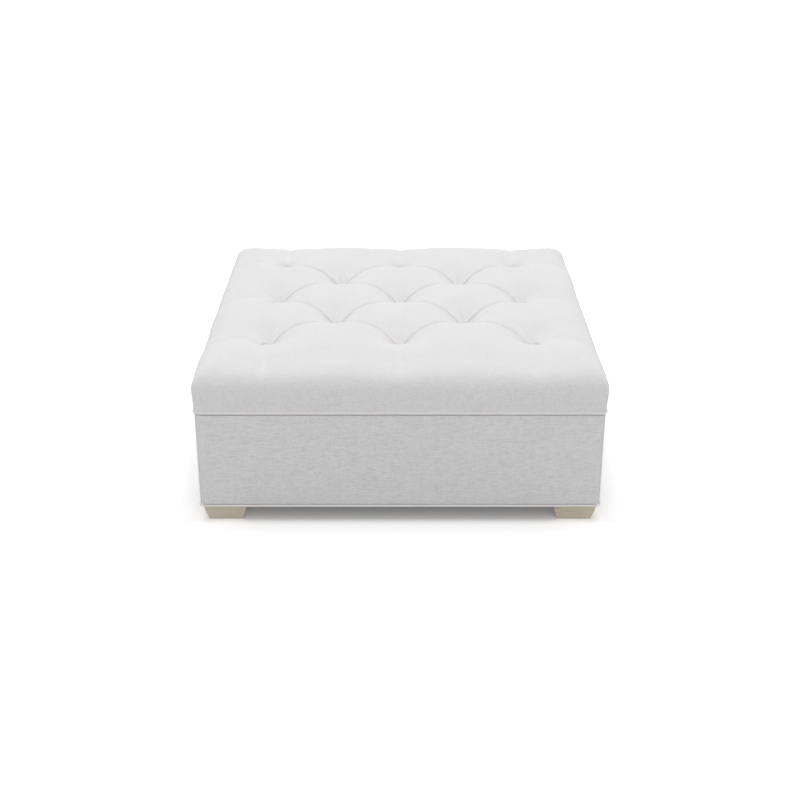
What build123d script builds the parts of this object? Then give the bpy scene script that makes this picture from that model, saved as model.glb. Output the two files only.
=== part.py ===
from build123d import *
from math import cos, radians, sin, sqrt
import os

# An ottoman coffee table: a button-tufted cushion on a fabric-covered box with four short wooden feet.
# Millimetres, +Z up, front toward -Y, origin on the floor under the middle.

# Overall sizes
base_width = 965.0
foot_height = 44.0
base_height = 245.0
cushion_height = 136.0

# Clearances and the overrun of cuts
layer_gap = 0.3
fastener_gap = 0.15
overrun = 20.0

# Layers of the base
cover_thickness = 1.5
base_batting_thickness = 6.0
facing_thickness = 4.0
rail_thickness = 22.0
bottom_rail_height = 70.0
top_rail_height = 45.0
under_cloth_thickness = 1.2
base_corner_radius = 14.0

# Welts: a cord in a fabric tube with a flat tail that is held under the piece above
upper_cord_radius = 3.3
upper_cord_reach = 3.3
upper_tail_width = 25.0
upper_tail_thickness = 1.2
lower_cord_radius = 2.75
lower_cord_reach = 2.0
lower_tail_width = 20.0
cord_sink = 0.4

# Feet, their bolts and the blocks that take them
foot_top_width = 107.0
foot_bottom_width = 82.0
foot_inset = 6.0
foot_edge_radius = 1.5
bolt_radius = 4.0
bolt_depth_in_foot = 28.0
bolt_end_chamfer = 0.8
block_width = 100.0
block_thickness = 30.0
nut_flange_radius = 9.5
nut_flange_thickness = 1.5
nut_barrel_radius = 5.3
nut_barrel_length = 12.0
bolt_reach_above_nut = 3.0
post_width = 45.0
post_bore_radius = 12.0
post_bore_depth = 10.0

# Screws and tacks
screw_radius = 2.25
screw_head_radius = 4.5
screw_head_thickness = 3.0
frame_screw_length = 58.0
deck_screw_length = 50.0
deck_screw_offset = 250.0
tack_radius = 0.8
tack_length = 14.0
tack_head_radius = 4.0
tack_head_thickness = 0.9
tack_pitch = 120.0
tacks_per_side = 6
tack_setback = 6.5

# Deck and its supports
deck_thickness = 15.0
deck_corner_radius = 8.0
support_height = 60.0
support_offset = 240.0
hem_width = 25.0

# Cushion
top_batting_thickness = 9.0
cushion_corner_radius = 30.0
crown_corner_radius = 46.0
side_bulge = 5.0
widest_height = 60.0
roll_radius = 58.0
roll_end_angle = 72.0
roll_steps = 5
crown_rise = 60.0
crown_width_share = 0.5
edge_fall = 40.0

# Tufting: rows of three and two tufts in turn
tuft_pitch_x = 161.0
tuft_pitch_y = 144.0
tuft_depth = 48.0
well_depth = 12.0
fold_half_width = 6.0
pleat_mid_share = 0.30
pleat_edge_share = 0.03
steps_per_row = 4
edge_steps = 3
button_radius = 12.5
button_rim = 2.5
button_rise = 4.5
well_gap = 0.4
twine_radius = 1.0
twine_gap = 0.3
washer_radius = 10.0
washer_thickness = 2.0
knot_radius = 3.0

# Levels above the floor
rail_bottom = foot_height + under_cloth_thickness
base_top = foot_height + base_height
tail_top = base_top + upper_tail_thickness
deck_bottom = tail_top + cover_thickness
deck_top = deck_bottom + deck_thickness
crest_level = base_top + cushion_height
widest_level = base_top + widest_height
seat_level = crest_level - tuft_depth - well_depth
lower_cord_level = foot_height + lower_cord_radius - cord_sink
upper_cord_level = base_top + upper_cord_radius - cord_sink
ledge_level = upper_cord_level + upper_cord_radius + layer_gap
sleeve_bottom = lower_cord_level + lower_cord_radius + layer_gap
sleeve_top = upper_cord_level - upper_cord_radius - fastener_gap
block_top = rail_bottom + block_thickness

# Half widths, measured out from the middle
base_half = base_width / 2
sleeve_inside = base_half - cover_thickness
batting_outside = sleeve_inside - layer_gap
batting_inside = batting_outside - base_batting_thickness
facing_half = batting_inside - layer_gap
frame_half = facing_half - facing_thickness
frame_inside = frame_half - rail_thickness
rail_centre = frame_half - rail_thickness / 2
upper_cord_half = base_half + upper_cord_reach - upper_cord_radius
lower_cord_half = base_half + lower_cord_reach - lower_cord_radius
waist_half = upper_cord_half - upper_cord_radius - layer_gap
deck_half = waist_half - cover_thickness - layer_gap
dust_half = lower_cord_half - lower_tail_width - layer_gap
foot_centre = base_half - foot_inset - foot_top_width / 2
slab_half = base_half + overrun

# Places
sides = {"front": (0, -1), "back": (0, 1), "left": (-1, 0), "right": (1, 0)}
corners = {"front_left": (-1, -1), "front_right": (1, -1), "back_left": (-1, 1), "back_right": (1, 1)}
foot_spots = [(dx * foot_centre, dy * foot_centre) for dx, dy in corners.values()]
tuft_steps = range(-2, 3)
tuft_spots = [
    (i * tuft_pitch_x, j * tuft_pitch_y)
    for j in tuft_steps
    for i in tuft_steps
    if (i + j) % 2 == 0
]
deck_screw_spots = []
for offset in (-deck_screw_offset, deck_screw_offset):
    for reach in (-rail_centre, rail_centre):
        deck_screw_spots += [(offset, reach), (reach, offset)]
tack_line = dust_half - tack_setback
tack_spots = []
for i in range(tacks_per_side):
    offset = (i - (tacks_per_side - 1) / 2) * tack_pitch
    for reach in (-tack_line, tack_line):
        tack_spots += [(offset, reach), (reach, offset)]

os.makedirs("parts", exist_ok=True)


# A screw along +Z with its head below zero; the gap widens it into its hole and leads the head out.
def screw(length, gap, head_length):
    with BuildPart() as one:
        with BuildSketch(Plane.XY):
            Circle(screw_radius + gap)
        extrude(amount=length + gap)
        with BuildSketch(Plane.XY.offset(-head_length)):
            Circle(screw_head_radius + gap)
        extrude(amount=head_length)
    return one.part


# Every frame screw goes in along Y, through a front or back rail into the end of a side rail.
def frame_screw_places():
    seat = frame_half - screw_head_thickness
    top_heights = [base_top - top_rail_height / 2]
    third = bottom_rail_height / 3
    bottom_heights = [rail_bottom + third, rail_bottom + 2 * third]
    places = []
    for height in top_heights + bottom_heights:
        for x in (-rail_centre, rail_centre):
            places.append(Location((x, -seat, height), (-90, 0, 0)))
            places.append(Location((x, seat, height), (90, 0, 0)))
    return places


def screw_group(places, length, gap, head_length):
    one = screw(length, gap, head_length)
    with BuildPart() as group:
        with Locations(*places):
            add(one)
    return group.part


deck_screw_seat = base_top - top_rail_height + screw_head_thickness
deck_screw_places = [Location((x, y, deck_screw_seat)) for x, y in deck_screw_spots]
head_way_out = screw_head_thickness + overrun
frame_screw_cuts = screw_group(frame_screw_places(), frame_screw_length, fastener_gap, head_way_out)
deck_screw_cuts = screw_group(deck_screw_places, deck_screw_length, fastener_gap, head_way_out)

# Upright holes for the foot bolts, the tufting twine and the tacks
with BuildPart() as bolt_holes:
    with BuildSketch(Plane.XY.offset(foot_height - bolt_depth_in_foot)):
        with Locations(*foot_spots):
            Circle(bolt_radius + fastener_gap)
    extrude(amount=bolt_depth_in_foot + under_cloth_thickness + block_thickness + overrun)

with BuildPart() as twine_holes:
    with BuildSketch(Plane.XY.offset(deck_bottom - washer_thickness - overrun)):
        with Locations(*tuft_spots):
            Circle(twine_radius + twine_gap)
    extrude(amount=cushion_height + overrun)

with BuildPart() as tack_holes:
    with BuildSketch(Plane.XY.offset(foot_height - overrun)):
        with Locations(*tack_spots):
            Circle(tack_radius + fastener_gap)
    extrude(amount=overrun + tack_length + fastener_gap)


# Feet: square blocks that taper toward the floor
for corner, (dx, dy) in corners.items():
    with BuildPart() as foot:
        with BuildSketch(Plane.XY):
            with Locations((dx * foot_centre, dy * foot_centre)):
                Rectangle(foot_bottom_width, foot_bottom_width)
        with BuildSketch(Plane.XY.offset(foot_height)):
            with Locations((dx * foot_centre, dy * foot_centre)):
                Rectangle(foot_top_width, foot_top_width)
        loft()
        level_edges = foot.edges().filter_by(Axis.X) + foot.edges().filter_by(Axis.Y)
        fillet(foot.edges() - level_edges, radius=foot_edge_radius)
        add(bolt_holes.part, mode=Mode.SUBTRACT)
    foot.part.label = f"foot_{corner}"
    export_step(foot.part, f"parts/foot_{corner}.step")

# Hanger bolts from each foot up through its corner block
bolt_length = bolt_depth_in_foot + under_cloth_thickness + block_thickness
bolt_length += nut_flange_thickness + bolt_reach_above_nut
with BuildPart() as foot_bolts:
    with BuildSketch(Plane.XY.offset(foot_height - bolt_depth_in_foot)):
        with Locations(*foot_spots):
            Circle(bolt_radius)
    extrude(amount=bolt_length)
    chamfer(foot_bolts.edges().filter_by(GeomType.CIRCLE), length=bolt_end_chamfer)
foot_bolts.part.label = "foot_bolts"
export_step(foot_bolts.part, "parts/foot_bolts.step")

# Tee nuts sunk in the tops of the corner blocks
with BuildPart() as tee_nuts:
    with BuildSketch(Plane.XY.offset(block_top)):
        with Locations(*foot_spots):
            Circle(nut_flange_radius)
    extrude(amount=nut_flange_thickness)
    with BuildSketch(Plane.XY.offset(block_top)):
        with Locations(*foot_spots):
            Circle(nut_barrel_radius)
    extrude(amount=-nut_barrel_length)
    add(bolt_holes.part, mode=Mode.SUBTRACT)
tee_nuts.part.label = "tee_nuts"
export_step(tee_nuts.part, "parts/tee_nuts.step")

# Corner blocks over the feet, bored for bolt and nut
for corner, (dx, dy) in corners.items():
    block_centre = frame_inside - block_width / 2
    with BuildPart() as corner_block:
        with BuildSketch(Plane.XY.offset(rail_bottom)):
            with Locations((dx * block_centre, dy * block_centre)):
                Rectangle(block_width, block_width)
        extrude(amount=block_thickness)
        with BuildSketch(Plane.XY.offset(block_top - nut_barrel_length - fastener_gap)):
            with Locations((dx * foot_centre, dy * foot_centre)):
                Circle(nut_barrel_radius + fastener_gap)
        extrude(amount=nut_barrel_length + overrun, mode=Mode.SUBTRACT)
        add(bolt_holes.part, mode=Mode.SUBTRACT)
    corner_block.part.label = f"corner_block_{corner}"
    export_step(corner_block.part, f"parts/corner_block_{corner}.step")

# Corner posts stand on the blocks, hollowed below to clear the nut
for corner, (dx, dy) in corners.items():
    post_centre = frame_inside - post_width / 2
    with BuildPart() as corner_post:
        with BuildSketch(Plane.XY.offset(block_top)):
            with Locations((dx * post_centre, dy * post_centre)):
                Rectangle(post_width, post_width)
        extrude(amount=base_top - block_top)
        with BuildSketch(Plane.XY.offset(block_top - overrun)):
            with Locations((dx * foot_centre, dy * foot_centre)):
                Circle(post_bore_radius)
        extrude(amount=overrun + post_bore_depth, mode=Mode.SUBTRACT)
    corner_post.part.label = f"corner_post_{corner}"
    export_step(corner_post.part, f"parts/corner_post_{corner}.step")

# Rails: front and back run through, left and right fit between them
rail_levels = {
    "bottom": (rail_bottom, bottom_rail_height),
    "top": (base_top - top_rail_height, top_rail_height),
}
for level, (rail_start, rail_height) in rail_levels.items():
    for side, (dx, dy) in sides.items():
        width_x = 2 * frame_half if dy else rail_thickness
        width_y = rail_thickness if dy else 2 * frame_inside
        with BuildPart() as rail:
            with BuildSketch(Plane.XY.offset(rail_start)):
                with Locations((dx * rail_centre, dy * rail_centre)):
                    Rectangle(width_x, width_y)
            extrude(amount=rail_height)
            add(frame_screw_cuts, mode=Mode.SUBTRACT)
            add(deck_screw_cuts if level == "top" else tack_holes.part, mode=Mode.SUBTRACT)
        rail.part.label = f"{level}_rail_{side}"
        export_step(rail.part, f"parts/{level}_rail_{side}.step")

frame_screws = screw_group(frame_screw_places(), frame_screw_length, 0, screw_head_thickness)
frame_screws.label = "frame_screws"
export_step(frame_screws, "parts/frame_screws.step")

# Two supports carry the deck between the front and back top rails
for side, dx in (("left", -1), ("right", 1)):
    with BuildPart() as deck_support:
        with BuildSketch(Plane.XY.offset(deck_bottom - support_height)):
            with Locations((dx * support_offset, 0)):
                Rectangle(rail_thickness, 2 * frame_inside)
        extrude(amount=support_height)
    deck_support.part.label = f"deck_support_{side}"
    export_step(deck_support.part, f"parts/deck_support_{side}.step")

# Facing boards close the four sides of the frame
for side, (dx, dy) in sides.items():
    facing_centre = facing_half - facing_thickness / 2
    width_x = 2 * facing_half if dy else facing_thickness
    width_y = facing_thickness if dy else 2 * frame_half
    with BuildPart() as side_panel:
        with BuildSketch(Plane.XY.offset(rail_bottom)):
            with Locations((dx * facing_centre, dy * facing_centre)):
                Rectangle(width_x, width_y)
        extrude(amount=base_top - rail_bottom)
    side_panel.part.label = f"side_panel_{side}"
    export_step(side_panel.part, f"parts/side_panel_{side}.step")

# Batting wrapped round the base, under its cover
with BuildPart() as base_batting:
    with BuildSketch(Plane.XY.offset(sleeve_bottom)):
        batting_radius = base_corner_radius - cover_thickness - layer_gap
        RectangleRounded(2 * batting_outside, 2 * batting_outside, batting_radius)
        Rectangle(2 * batting_inside, 2 * batting_inside, mode=Mode.SUBTRACT)
    extrude(amount=sleeve_top - sleeve_bottom)
base_batting.part.label = "base_batting"
export_step(base_batting.part, "parts/base_batting.step")

# Base cover: four fabric panels sewn into one sleeve
with BuildPart() as base_cover:
    with BuildSketch(Plane.XY.offset(sleeve_bottom)):
        RectangleRounded(base_width, base_width, base_corner_radius)
        inside_radius = base_corner_radius - cover_thickness
        RectangleRounded(2 * sleeve_inside, 2 * sleeve_inside, inside_radius, mode=Mode.SUBTRACT)
    extrude(amount=sleeve_top - sleeve_bottom)
base_cover.part.label = "base_cover"
export_step(base_cover.part, "parts/base_cover.step")


# A welt: a cord swept round the box, with a flat tail pointing in
def welt(cord_half, cord_radius, cord_level, tail_bottom, tail_thickness, tail_width):
    corner = base_corner_radius + cord_half - base_half
    with BuildPart() as whole:
        with BuildLine(Plane.XY.offset(cord_level)) as route:
            turns = [(dx * cord_half, dy * cord_half) for dx, dy in ((1, -1), (1, 1), (-1, 1), (-1, -1))]
            FilletPolyline(*turns, radius=corner, close=True)
        with BuildSketch(Plane(origin=route.line @ 0, z_dir=route.line % 0)):
            Circle(cord_radius)
        sweep()
        with BuildSketch(Plane.XY.offset(tail_bottom)):
            RectangleRounded(2 * cord_half, 2 * cord_half, corner)
            inner_width = 2 * (cord_half - tail_width)
            Rectangle(inner_width, inner_width, mode=Mode.SUBTRACT)
        extrude(amount=tail_thickness)
    return whole.part


lower_tail = (foot_height, under_cloth_thickness, lower_tail_width)
lower_welt = welt(lower_cord_half, lower_cord_radius, lower_cord_level, *lower_tail)
lower_welt.label = "lower_welt"
export_step(lower_welt, "parts/lower_welt.step")

upper_tail = (base_top, upper_tail_thickness, upper_tail_width)
upper_cord_and_tail = welt(upper_cord_half, upper_cord_radius, upper_cord_level, *upper_tail)
with BuildPart() as upper_welt:
    add(upper_cord_and_tail)
    add(deck_screw_cuts, mode=Mode.SUBTRACT)
upper_welt.part.label = "upper_welt"
export_step(upper_welt.part, "parts/upper_welt.step")

# Dust cover under the base, inside the tail of the lower welt, tacked to the rails
with BuildPart() as dust_cover:
    with BuildSketch(Plane.XY.offset(foot_height)):
        Rectangle(2 * dust_half, 2 * dust_half)
    extrude(amount=under_cloth_thickness)
    add(bolt_holes.part, mode=Mode.SUBTRACT)
    add(tack_holes.part, mode=Mode.SUBTRACT)
dust_cover.part.label = "dust_cover"
export_step(dust_cover.part, "parts/dust_cover.step")

with BuildPart() as dust_cover_tacks:
    with BuildSketch(Plane.XY.offset(foot_height)):
        with Locations(*tack_spots):
            Circle(tack_radius)
    extrude(amount=tack_length)
    with BuildSketch(Plane.XY.offset(foot_height)):
        with Locations(*tack_spots):
            Circle(tack_head_radius)
    extrude(amount=-tack_head_thickness)
dust_cover_tacks.part.label = "dust_cover_tacks"
export_step(dust_cover_tacks.part, "parts/dust_cover_tacks.step")

# Deck board under the cushion, screwed up through the top rails
with BuildPart() as deck_board:
    with BuildSketch(Plane.XY.offset(deck_bottom)):
        RectangleRounded(2 * deck_half, 2 * deck_half, deck_corner_radius)
    extrude(amount=deck_thickness)
    add(twine_holes.part, mode=Mode.SUBTRACT)
    add(deck_screw_cuts, mode=Mode.SUBTRACT)
deck_board.part.label = "deck_board"
export_step(deck_board.part, "parts/deck_board.step")

deck_screws = screw_group(deck_screw_places, deck_screw_length, 0, screw_head_thickness)
deck_screws.label = "deck_screws"
export_step(deck_screws, "parts/deck_screws.step")

# Each pillow between tufts is part of a ball, flattened in Y to fit the tuft grid.
ball_radius = (tuft_pitch_x**2 + tuft_depth**2) / (2 * tuft_depth)
ball_squeeze = tuft_pitch_x / tuft_pitch_y
outer_row = 2 * tuft_pitch_y
outer_column = 2 * tuft_pitch_x


# How far a pillow has fallen below its crest at a distance from its centre
def pillow_drop(along_x, along_y):
    return ball_radius - sqrt(ball_radius**2 - along_x**2 - (ball_squeeze * along_y) ** 2)


# What is left of a pleat's depth on its way from the outer tufts to the edge
def pleat_fade(way_share):
    slope = 4 * pleat_mid_share - pleat_edge_share - 3
    bend = 2 + 2 * pleat_edge_share - 4 * pleat_mid_share
    return 1 + slope * way_share + bend * way_share**2


# How far the crown has fallen on the way from the outer tufts to the edge, less than doubled at a corner
def crown_fall(way_x_share, way_y_share):
    return edge_fall * sqrt(way_x_share**4 + way_y_share**4)


# The top outline of the cushion across X at one Y: arc ends and middles, from the right edge to the left
def top_outline(y, inset):
    reach = abs(y)
    beyond = max(0, reach - outer_row) / (slab_half - outer_row)
    step = min(reach, outer_row) % outer_row / tuft_pitch_y
    phase = min(step, 2 - step)
    fade = pleat_fade(beyond)
    crest = crest_level - inset
    level = crest - crown_fall(0, beyond)
    outer = outer_column + fold_half_width * (1 - phase)
    middle = outer_column - fold_half_width - (tuft_pitch_x - 2 * fold_half_width) * phase
    inner = fold_half_width + (tuft_pitch_x - 2 * fold_half_width) * phase
    from_odd = tuft_pitch_y * (1 - phase)
    from_even = tuft_pitch_y * phase
    outer_drop = pillow_drop(outer - outer_column, from_odd) * fade
    side_mid = (outer + middle) / 2
    way_mid_share = 0.5
    edge_level = crest - crown_fall(1, beyond) - pleat_edge_share * outer_drop
    edge_mid_level = crest - crown_fall(way_mid_share, beyond) - pleat_mid_share * outer_drop
    right = [
        (slab_half, edge_level),
        ((slab_half + outer) / 2, edge_mid_level),
        (outer, level - outer_drop),
        (side_mid, level - pillow_drop(outer_column - side_mid, from_odd) * fade),
        (middle, level - pillow_drop(middle - tuft_pitch_x, from_even) * fade),
        ((middle + inner) / 2, level - pillow_drop(0, from_even) * fade),
        (inner, level - pillow_drop(tuft_pitch_x - inner, from_even) * fade),
    ]
    left = [(-x, z) for x, z in reversed(right)]
    return right + [(0, level - pillow_drop(0, from_odd) * fade)] + left


# Stations along Y for each stretch of the tufted top: front edge, four gaps between rows, back edge
def stretches():
    edge_step = (slab_half - outer_row) / edge_steps
    edge = [outer_row + i * edge_step for i in range(edge_steps + 1)]
    gaps = []
    for j in tuft_steps[:-1]:
        gaps.append([(j + i / steps_per_row) * tuft_pitch_y for i in range(steps_per_row + 1)])
    return [[-y for y in reversed(edge)]] + gaps + [edge]


# A slab with the tufted top, wider than the cushion
def tufted_slab(inset, bottom):
    with BuildPart() as slab:
        for stretch in stretches():
            for y in stretch:
                outline = top_outline(y, inset)
                with BuildSketch(Plane.XZ.offset(-y)):
                    with BuildLine():
                        for i in range(0, len(outline) - 2, 2):
                            ThreePointArc(*outline[i : i + 3])
                        Polyline(outline[-1], (-slab_half, bottom), (slab_half, bottom), outline[0])
                    make_face()
            loft()
    return slab.part


# The cushion's body: waist behind the welt, bulging sides, a large roll and a low crown
def rolled_body(inset):
    ledge = ledge_level + inset
    roll = roll_radius - inset
    roll_centre = base_half + side_bulge - roll_radius
    mid_level = (ledge + widest_level) / 2
    bulge_mid_share = 0.75
    corner_growth = cushion_corner_radius - base_corner_radius
    mid_corner = base_corner_radius + corner_growth * bulge_mid_share
    side_sections = [
        (base_half, ledge, base_corner_radius),
        (base_half + side_bulge * bulge_mid_share, mid_level, mid_corner),
        (base_half + side_bulge, widest_level, cushion_corner_radius),
    ]
    with BuildPart() as body:
        with BuildSketch(Plane.XY.offset(tail_top - overrun)):
            waist_radius = base_corner_radius - base_half + waist_half - inset
            waist_width = 2 * (waist_half - inset)
            RectangleRounded(waist_width, waist_width, max(waist_radius, layer_gap))
        extrude(amount=overrun + ledge - tail_top)
        for half, level, corner in side_sections:
            with BuildSketch(Plane.XY.offset(level)):
                RectangleRounded(2 * (half - inset), 2 * (half - inset), corner - inset)
        loft()
        for i in range(roll_steps + 1):
            angle = radians(roll_end_angle * i / roll_steps)
            half = roll_centre + roll * cos(angle)
            level = widest_level + roll * sin(angle)
            corner = cushion_corner_radius + (crown_corner_radius - cushion_corner_radius) * i / roll_steps
            with BuildSketch(Plane.XY.offset(level)):
                RectangleRounded(2 * half, 2 * half, corner - inset)
        loft()
        with BuildSketch(Plane.XY.offset(level)):
            RectangleRounded(2 * half, 2 * half, corner - inset)
        with BuildSketch(Plane.XY.offset(level + crown_rise)):
            crown_half = half * crown_width_share
            RectangleRounded(2 * crown_half, 2 * crown_half, crown_width_share * (corner - inset))
        loft()
    return body.part


# The cushion's form, drawn in by an inset, standing on a level, with a well at each tuft
def tufted_form(inset, bottom):
    slab = tufted_slab(inset, bottom)
    body = rolled_body(inset)
    with BuildPart() as form:
        add(slab)
        add(body, mode=Mode.INTERSECT)
        with BuildSketch(Plane.XY.offset(seat_level - inset)):
            with Locations(*tuft_spots):
                Circle(button_radius + well_gap + inset)
        extrude(amount=tuft_depth + overrun, mode=Mode.SUBTRACT)
    return form.part


batting_inset = cover_thickness + layer_gap
foam_inset = batting_inset + top_batting_thickness + layer_gap

# Top cover: one fabric skin over the whole cushion, its hem turned in under the deck
cover_outside = tufted_form(0, tail_top)
cover_inside = tufted_form(cover_thickness, deck_bottom)
with BuildPart() as top_cover:
    add(cover_outside)
    add(cover_inside, mode=Mode.SUBTRACT)
    with BuildSketch(Plane.XY.offset(tail_top - overrun)):
        hem_opening = 2 * (waist_half - hem_width)
        Rectangle(hem_opening, hem_opening)
    extrude(amount=2 * overrun, mode=Mode.SUBTRACT)
    add(twine_holes.part, mode=Mode.SUBTRACT)
    add(deck_screw_cuts, mode=Mode.SUBTRACT)
top_cover.part.label = "top_cover"
export_step(top_cover.part, "parts/top_cover.step")

# Batting laid over the foam
batting_outer_form = tufted_form(batting_inset, deck_top)
batting_inner_form = tufted_form(foam_inset - layer_gap, deck_top - overrun)
with BuildPart() as top_batting:
    add(batting_outer_form)
    add(batting_inner_form, mode=Mode.SUBTRACT)
    add(twine_holes.part, mode=Mode.SUBTRACT)
top_batting.part.label = "top_batting"
export_step(top_batting.part, "parts/top_batting.step")

# Foam core, pulled in at each tuft
foam_form = tufted_form(foam_inset, deck_top)
with BuildPart() as foam_core:
    add(foam_form)
    add(twine_holes.part, mode=Mode.SUBTRACT)
foam_core.part.label = "foam_core"
export_step(foam_core.part, "parts/foam_core.step")

# Covered buttons, one in each well
with BuildPart() as one_button:
    cap_radius = (button_radius**2 + button_rise**2) / (2 * button_rise)
    with BuildSketch(Plane.XZ):
        with BuildLine():
            edge_point = (button_radius, button_rim)
            top_point = (0, button_rim + button_rise)
            Line((0, 0), (button_radius, 0))
            Line((button_radius, 0), edge_point)
            RadiusArc(edge_point, top_point, -cap_radius)
            Line(top_point, (0, 0))
        make_face()
    revolve(axis=Axis.Z)
with BuildPart() as tufting_buttons:
    with Locations(*[(x, y, seat_level) for x, y in tuft_spots]):
        add(one_button.part)
tufting_buttons.part.label = "tufting_buttons"
export_step(tufting_buttons.part, "parts/tufting_buttons.step")

# Washers under the deck, and the twine that pulls each button down to its washer and knot
with BuildPart() as twine_washers:
    with BuildSketch(Plane.XY.offset(deck_bottom - washer_thickness)):
        with Locations(*tuft_spots):
            Circle(washer_radius)
            Circle(twine_radius + twine_gap, mode=Mode.SUBTRACT)
    extrude(amount=washer_thickness)
twine_washers.part.label = "twine_washers"
export_step(twine_washers.part, "parts/twine_washers.step")

knot_level = deck_bottom - washer_thickness - knot_radius
with BuildPart() as tufting_twine:
    with BuildSketch(Plane.XY.offset(knot_level)):
        with Locations(*tuft_spots):
            Circle(twine_radius)
    extrude(amount=seat_level - knot_level)
    with Locations(*[(x, y, knot_level) for x, y in tuft_spots]):
        Sphere(knot_radius)
tufting_twine.part.label = "tufting_twine"
export_step(tufting_twine.part, "parts/tufting_twine.step")
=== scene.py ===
"""Looks for the tufted ottoman coffee table: fabric, welts, buttons, wood, studio and camera, in metres."""

import math

import bpy
import numpy as np
from mathutils import Matrix, Vector


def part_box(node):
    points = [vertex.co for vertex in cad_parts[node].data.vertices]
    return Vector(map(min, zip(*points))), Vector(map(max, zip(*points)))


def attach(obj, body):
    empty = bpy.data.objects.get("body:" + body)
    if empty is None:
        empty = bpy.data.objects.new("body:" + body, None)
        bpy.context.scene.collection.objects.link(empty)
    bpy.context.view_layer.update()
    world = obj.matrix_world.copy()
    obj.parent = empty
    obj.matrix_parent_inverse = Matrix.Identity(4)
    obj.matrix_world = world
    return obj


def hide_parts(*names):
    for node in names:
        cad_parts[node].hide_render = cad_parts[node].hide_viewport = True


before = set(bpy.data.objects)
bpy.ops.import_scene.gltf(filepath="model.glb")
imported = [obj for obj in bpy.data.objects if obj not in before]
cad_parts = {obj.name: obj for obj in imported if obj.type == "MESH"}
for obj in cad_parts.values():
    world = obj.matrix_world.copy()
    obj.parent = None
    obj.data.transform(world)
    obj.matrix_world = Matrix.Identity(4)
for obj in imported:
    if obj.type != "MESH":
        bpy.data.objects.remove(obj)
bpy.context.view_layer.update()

# Levels and half-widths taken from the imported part
BASE_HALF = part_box("base_cover")[1].x
SLEEVE_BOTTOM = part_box("base_cover")[0].z
SLEEVE_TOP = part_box("base_cover")[1].z
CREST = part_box("top_cover")[1].z
UPPER_WELT_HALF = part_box("upper_welt")[1].x
UPPER_WELT_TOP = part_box("upper_welt")[1].z
LOWER_WELT_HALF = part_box("lower_welt")[1].x
LOWER_WELT_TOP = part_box("lower_welt")[1].z
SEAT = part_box("tufting_buttons")[0].z
DUST_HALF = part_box("dust_cover")[1].x
DUST_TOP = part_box("dust_cover")[1].z

# Tufts: a diamond pattern in rows of three and two. Pleats run on from the outer tufts to the edge
PITCH_X = 0.161
PITCH_Y = 0.144
OUTER_X = 2 * PITCH_X
OUTER_Y = 2 * PITCH_Y
HALF_CREASE = math.hypot(PITCH_X, PITCH_Y) / 2
TUFTS = [(i, j) for i in range(-2, 3) for j in range(-2, 3) if (i + j) % 2 == 0]

# Pillows, full between low creases. Shares are of a pillow's half width or of a pleat's depth
CREASE_DEPTH = 0.0108
FULLNESS = 2.1  # the higher, the flatter the pillow's top
PILLOW_EASE = 0.12
PLEAT_EASE = 0.25  # how much shallower a pleat gets towards the edge
CORNER_BLEND = 0.12

# The pit at each tuft: a soft cone, steeper towards a pillow and less steep along an outer pleat
PIT_SLOPE = 0.5625
PIT_REACH = 0.064
PIT_SOFTNESS = 0.0314
NOSE_DROP = 0.133
PLEAT_RISE = 0.232

# Tight folds along the creases, deepest beside a tuft, and wide ones down the pleats. FOLD_END, PLEAT_START and
# PLEAT_FULL are shares of the way from the outer tufts to the edge
FOLD_DEEP = 0.0095
FOLD_SHALLOW = 0.0058
FOLD_FADE = 0.045
FOLD_REACH = 0.0020
FOLD_END = 0.10
PLEAT_FOLD = 0.0038
PLEAT_REACH = 0.0125
PLEAT_START = 0.08
PLEAT_FULL = 0.35

# The well that holds a button, and the gathers round it: count round the tuft, height and phase of each wave
WELL_DEPTH = 0.020
WELL_FOOT = 0.0100
WELL_RADIUS = 0.0138
WELL_FLOOR = 0.0006
GATHER_WAVES = [(17, 1.0, 0.0), (9, 0.6, 1.3)]
GATHER_HEIGHT = 0.0011
GATHER_LIFT = 1.25  # in gather heights: keeps the rim high enough to hide the well from the front
GATHER_FULL = 0.026
GATHER_FADE = (0.030, 0.062)
OUTER_CALM = 0.55
OUTER_CALM_RUN = (-0.010, 0.020)
BUTTON_RADIUS = 0.0125
BUTTON_RIM = 0.0025
BUTTON_RISE = 0.0045

# The cushion's edge: a sloping crown, a rolled edge that is tight low down, a side and a tuck behind the welt
SLAB_HALF = 0.5025
EDGE_FALL = 0.040
EDGE_SQUARENESS = 8
CROWN_SLOPE = 0.277
CROWN_BLEND = 0.005
ROLL_ANGLE = math.radians(74.5)
ROLL_TILTS = np.radians([0, 23, 40, 54, 69, 78])
ROLL_RADII = np.array([0.045, 0.046, 0.055, 0.066, 0.095, 0.140])
ROLL_DIP = 0.0035
ROLL_DIP_RUN = 0.072
ROLL_BLEND = 0.05
WIDEST_LEVEL = 0.349
SIDE_BULGE = 0.004
WIDEST_HALF = BASE_HALF + SIDE_BULGE
TUCK_GAP = -0.0004
TUCK_RADIUS = 0.0030
TUCK_SHARPENING = 0.8
HEM = 0.003

# Corner radii seen from above, from the crown down
STRAIGHT_TO = 0.34  # half-width of the part of the grid that stays square
TOP_CORNER = 0.007
WIDEST_CORNER = 0.013
BASE_CORNER = 0.014
LEAST_CORNER = 0.006

# The cushion's grid: lines from one tuft to the next, from the outer tufts to the roll, and over roll and side
PITCH_STEPS = 80
TUFT_CROWDING = 0.40
EDGE_STEPS_X = 40
EDGE_STEPS_Y = 52
ROLL_STEPS = 60

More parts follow.
